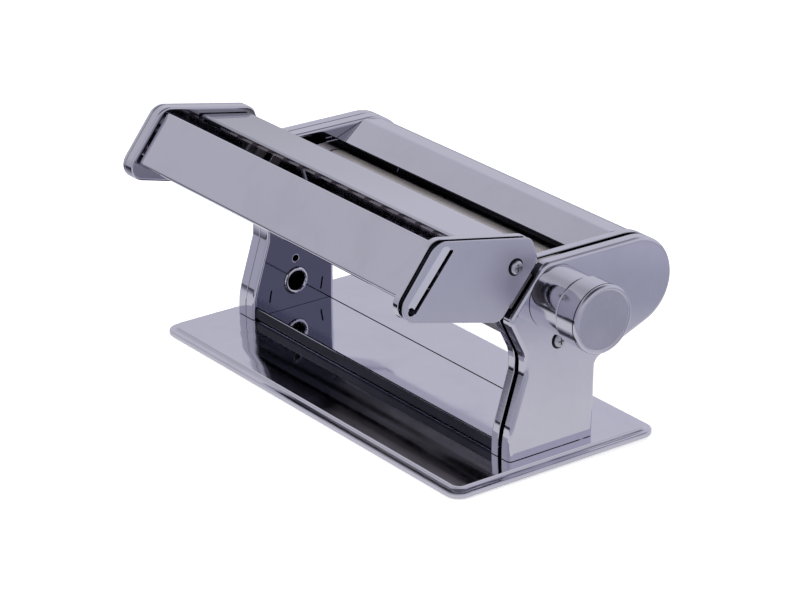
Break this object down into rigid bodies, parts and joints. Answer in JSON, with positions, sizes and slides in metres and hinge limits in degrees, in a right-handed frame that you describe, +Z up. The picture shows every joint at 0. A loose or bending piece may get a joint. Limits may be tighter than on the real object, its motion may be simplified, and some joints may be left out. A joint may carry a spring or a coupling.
{
  "type": "pasta roller machine",
  "caption": "Hand-cranked pasta roller machine: polished steel housing on a flat base, sheeting rollers with a thickness knob, and a slotted cutter head hung on its sloping front.",
  "frame": {"origin": "on the surface the feet stand on, under the middle of the machine's overall box", "axes": "+Z up; +X along the rollers towards the setting knob; -Y is the front, where the cutter head hangs"},
  "size_m": [0.264, 0.1584, 0.124],
  "materials": {
    "polished_chrome": "mirror polished, faint lavender tint",
    "plain_steel": "satin ground",
    "gear_steel": "cut steel, lightly oiled",
    "bearing_bronze": "satin sintered",
    "black_rubber": "matte"
  },
  "bodies": {
    "frame": {"base_plate": "polished_chrome", "rubber_foot_1": "black_rubber", "rubber_foot_2": "black_rubber", "rubber_foot_3": "black_rubber", "rubber_foot_4": "black_rubber", "floor_tray": "polished_chrome", "left_inner_frame": "polished_chrome", "right_inner_frame": "polished_chrome", "left_clamp_bush": "plain_steel", "right_clamp_bush": "plain_steel", "left_cover": "polished_chrome", "right_cover": "polished_chrome", "left_cover_screw": "plain_steel", "right_cover_screw": "plain_steel", "rear_shell": "polished_chrome", "front_apron": "polished_chrome", "tie_rod_1": "plain_steel", "tie_rod_2": "plain_steel", "tie_rod_3": "plain_steel", "front_scraper": "plain_steel", "rear_scraper": "plain_steel", "left_roller_guard": "polished_chrome", "right_roller_guard": "polished_chrome", "left_drive_bush": "bearing_bronze", "right_drive_bush": "bearing_bronze", "knob_boss": "polished_chrome", "left_head_rail": "plain_steel", "right_head_rail": "plain_steel"},
    "drive_roller": {"drive_roller": "plain_steel", "drive_gear": "gear_steel", "crank_socket": "gear_steel"},
    "front_carriage": {"left_front_bush": "bearing_bronze", "right_front_bush": "bearing_bronze"},
    "front_roller": {"front_roller": "plain_steel", "front_roller_gear": "gear_steel"},
    "setting_shaft": {"setting_shaft": "bearing_bronze", "left_setting_cam": "bearing_bronze", "knob_stop_ring": "plain_steel"},
    "setting_knob": {"setting_knob": "polished_chrome"},
    "cutter_head": {"head_left_inner_cap": "polished_chrome", "head_right_inner_cap": "polished_chrome", "head_left_outer_cap": "polished_chrome", "head_right_outer_cap": "polished_chrome", "head_left_screw": "plain_steel", "head_right_screw": "plain_steel", "head_left_shoe": "plain_steel", "head_right_shoe": "plain_steel", "head_front_panel": "polished_chrome", "head_middle_panel": "polished_chrome", "head_tie_bar": "plain_steel", "front_comb": "plain_steel", "rear_comb": "plain_steel"},
    "front_cutter": {"front_cutter": "plain_steel", "front_cutter_gear": "gear_steel"},
    "rear_cutter": {"rear_cutter": "plain_steel", "rear_cutter_gear": "gear_steel", "cutter_crank_socket": "gear_steel"}
  },
  "joints": [
    {"name": "drive_roller_spin", "type": "hinge", "parent": "frame", "child": "drive_roller", "pos_m": [0, 0.03216, 0.07575], "axis": [1, 0, 0], "continuous": true},
    {"name": "setting_turn", "type": "hinge", "parent": "frame", "child": "setting_shaft", "pos_m": [0, 0.00966, 0.0808], "axis": [1, 0, 0], "range_deg": [0, 180]},
    {"name": "knob_pull", "type": "slide", "parent": "setting_shaft", "child": "setting_knob", "axis": [1, 0, 0], "range_m": [0, 0.003], "stiffness_N_per_m": 1500},
    {"name": "roller_gap", "type": "slide", "parent": "frame", "child": "front_carriage", "axis": [0, -0.9757, 0.2189], "range_m": [0, 0.0022]},
    {"name": "front_roller_spin", "type": "hinge", "parent": "front_carriage", "child": "front_roller", "pos_m": [0, 0.01073, 0.08056], "axis": [1, 0, 0], "continuous": true},
    {"name": "head_lift", "type": "slide", "parent": "frame", "child": "cutter_head", "axis": [0, 0.656, 0.7547], "range_m": [0, 0.05]},
    {"name": "rear_cutter_spin", "type": "hinge", "parent": "cutter_head", "child": "rear_cutter", "pos_m": [0, -0.04244, 0.10115], "axis": [1, 0, 0], "continuous": true},
    {"name": "front_cutter_spin", "type": "hinge", "parent": "cutter_head", "child": "front_cutter", "pos_m": [0, -0.05774, 0.1042], "axis": [1, 0, 0], "continuous": true}
  ],
  "couplings": [
    {"joint": "setting_turn", "follows": "roller_gap", "rad_per_m": 1427.9},
    {"joint": "front_roller_spin", "follows": "drive_roller_spin", "ratio": -1},
    {"joint": "front_cutter_spin", "follows": "rear_cutter_spin", "ratio": -1}
  ]
}
